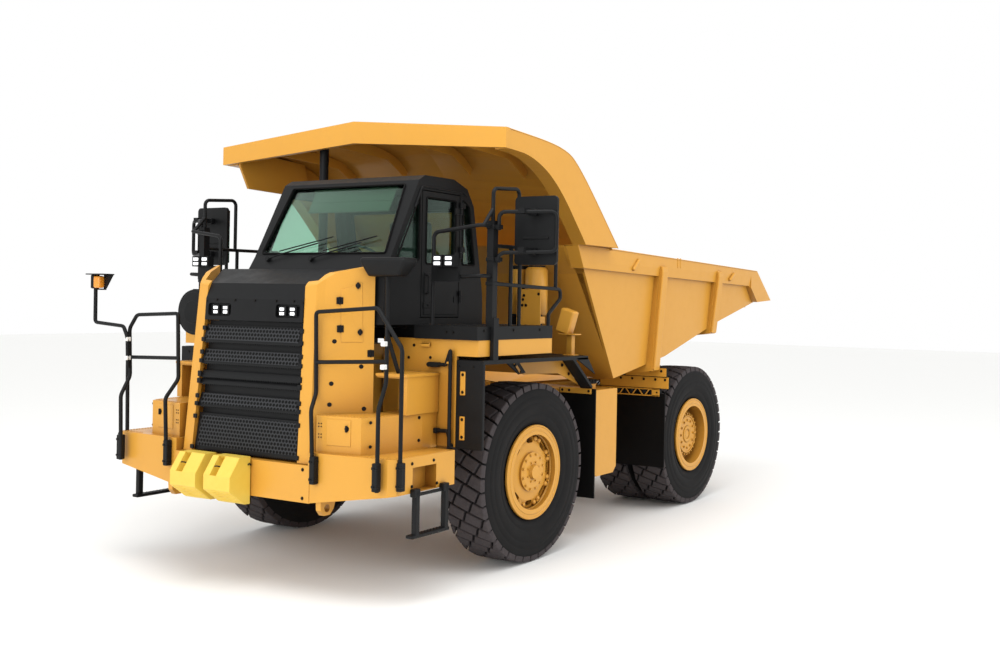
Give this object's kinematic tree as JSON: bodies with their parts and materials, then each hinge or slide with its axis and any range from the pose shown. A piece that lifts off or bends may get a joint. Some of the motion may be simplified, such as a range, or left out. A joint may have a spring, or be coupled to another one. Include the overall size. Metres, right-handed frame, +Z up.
{
  "type": "mining dump truck",
  "caption": "Rigid two-axle off-road dump truck: ribbed tipping body with a canopy over the offset cab, steered front wheels, twin rear wheels, railed decks and twin hoist cylinders.",
  "frame": {"origin": "on the ground, at the centre of the bounding box seen from above", "axes": "+X to the truck's left, +Y to its rear, +Z up; the truck faces -Y"},
  "size_m": [5.108, 9.02, 4.594],
  "materials": {
    "yellow_paint": "satin",
    "black_paint": "satin",
    "dark_steel": "matte",
    "chock_yellow": "satin",
    "tyre": "matte",
    "flap_rubber": "matte",
    "glass": "gloss",
    "cylinder_steel": "satin",
    "seat_trim": "matte",
    "frame_cast": "satin"
  },
  "bodies": {
    "chassis": {"frame_rails": "frame_cast", "front_bumper": "yellow_paint", "wheel_chocks": "chock_yellow", "step_boxes": "yellow_paint", "lower_ladders": "black_paint", "front_handrails": "black_paint", "hood_panels": "yellow_paint", "hood_cover": "black_paint", "grille": "black_paint", "engine_block": "frame_cast", "drive_line": "frame_cast", "deck_platform": "black_paint", "front_panels": "yellow_paint", "fenders": "black_paint", "front_flaps": "flap_rubber", "side_tanks": "yellow_paint", "cab_shell": "black_paint", "cab_glass": "glass", "cab_interior": "seat_trim", "mirrors": "black_paint", "deck_handrails": "black_paint", "air_cleaner": "black_paint", "exhaust_stack": "dark_steel", "strut_housings": "frame_cast", "rear_axle": "frame_cast", "rear_struts": "frame_cast"},
    "steer_left": {"spindle_left": "frame_cast"},
    "steer_right": {"spindle_right": "frame_cast"},
    "tie_rod": {"tie_rod": "dark_steel"},
    "front_wheel_left": {"front_rim_left": "yellow_paint", "front_tyre_left": "tyre"},
    "front_wheel_right": {"front_rim_right": "yellow_paint", "front_tyre_right": "tyre"},
    "rear_wheels_left": {"rear_rims_left": "yellow_paint", "rear_tyres_left": "tyre"},
    "rear_wheels_right": {"rear_rims_right": "yellow_paint", "rear_tyres_right": "tyre"},
    "bed": {"dump_body": "yellow_paint", "body_beams": "yellow_paint", "canopy": "yellow_paint", "rear_flaps": "flap_rubber"},
    "hoist_barrels": {"hoist_barrels": "yellow_paint"},
    "hoist_rods": {"hoist_rods": "cylinder_steel"},
    "door": {"cab_door": "black_paint", "door_glass": "glass"}
  },
  "joints": [
    {"name": "steer_left", "type": "hinge", "parent": "chassis", "child": "steer_left", "pos_m": [1.15, -2, 0.9375], "axis": [0, 0, 1], "range_deg": [-40, 40]},
    {"name": "steer_right", "type": "hinge", "parent": "chassis", "child": "steer_right", "pos_m": [-1.15, -2, 0.9375], "axis": [0, 0, 1], "range_deg": [-40, 40]},
    {"name": "tie_rod_shift", "type": "slide", "parent": "chassis", "child": "tie_rod", "axis": [1, 0, 0], "range_m": [-0.2, 0.2]},
    {"name": "front_left_spin", "type": "hinge", "parent": "steer_left", "child": "front_wheel_left", "pos_m": [1.59, -2, 0.9375], "axis": [1, 0, 0], "continuous": true},
    {"name": "front_right_spin", "type": "hinge", "parent": "steer_right", "child": "front_wheel_right", "pos_m": [-1.59, -2, 0.9375], "axis": [1, 0, 0], "continuous": true},
    {"name": "rear_left_spin", "type": "hinge", "parent": "chassis", "child": "rear_wheels_left", "pos_m": [1.23, 1.96, 0.9375], "axis": [1, 0, 0], "continuous": true},
    {"name": "rear_right_spin", "type": "hinge", "parent": "chassis", "child": "rear_wheels_right", "pos_m": [-1.23, 1.96, 0.9375], "axis": [1, 0, 0], "continuous": true},
    {"name": "bed_tilt", "type": "hinge", "parent": "chassis", "child": "bed", "pos_m": [0, 2.9, 1.64], "axis": [-1, 0, 0], "range_deg": [0, 50]},
    {"name": "hoist_swing", "type": "hinge", "parent": "chassis", "child": "hoist_barrels", "pos_m": [0, 0.1, 0.85], "axis": [1, 0, 0], "range_deg": [0, 16.5]},
    {"name": "hoist_extend", "type": "slide", "parent": "hoist_barrels", "child": "hoist_rods", "axis": [0, 0.8462, 0.5328], "range_m": [0, 1.08]},
    {"name": "cab_door", "type": "hinge", "parent": "chassis", "child": "door", "pos_m": [1.268, -2.597, 3.17], "axis": [0, 0, 1], "range_deg": [0, 80]}
  ],
  "couplings": [
    {"joint": "steer_right", "follows": "steer_left", "ratio": 1},
    {"joint": "tie_rod_shift", "follows": "steer_left", "m_per_rad": -0.28},
    {"joint": "hoist_swing", "follows": "bed_tilt", "ratio": 0.32},
    {"joint": "hoist_extend", "follows": "bed_tilt", "m_per_rad": 1.225}
  ]
}
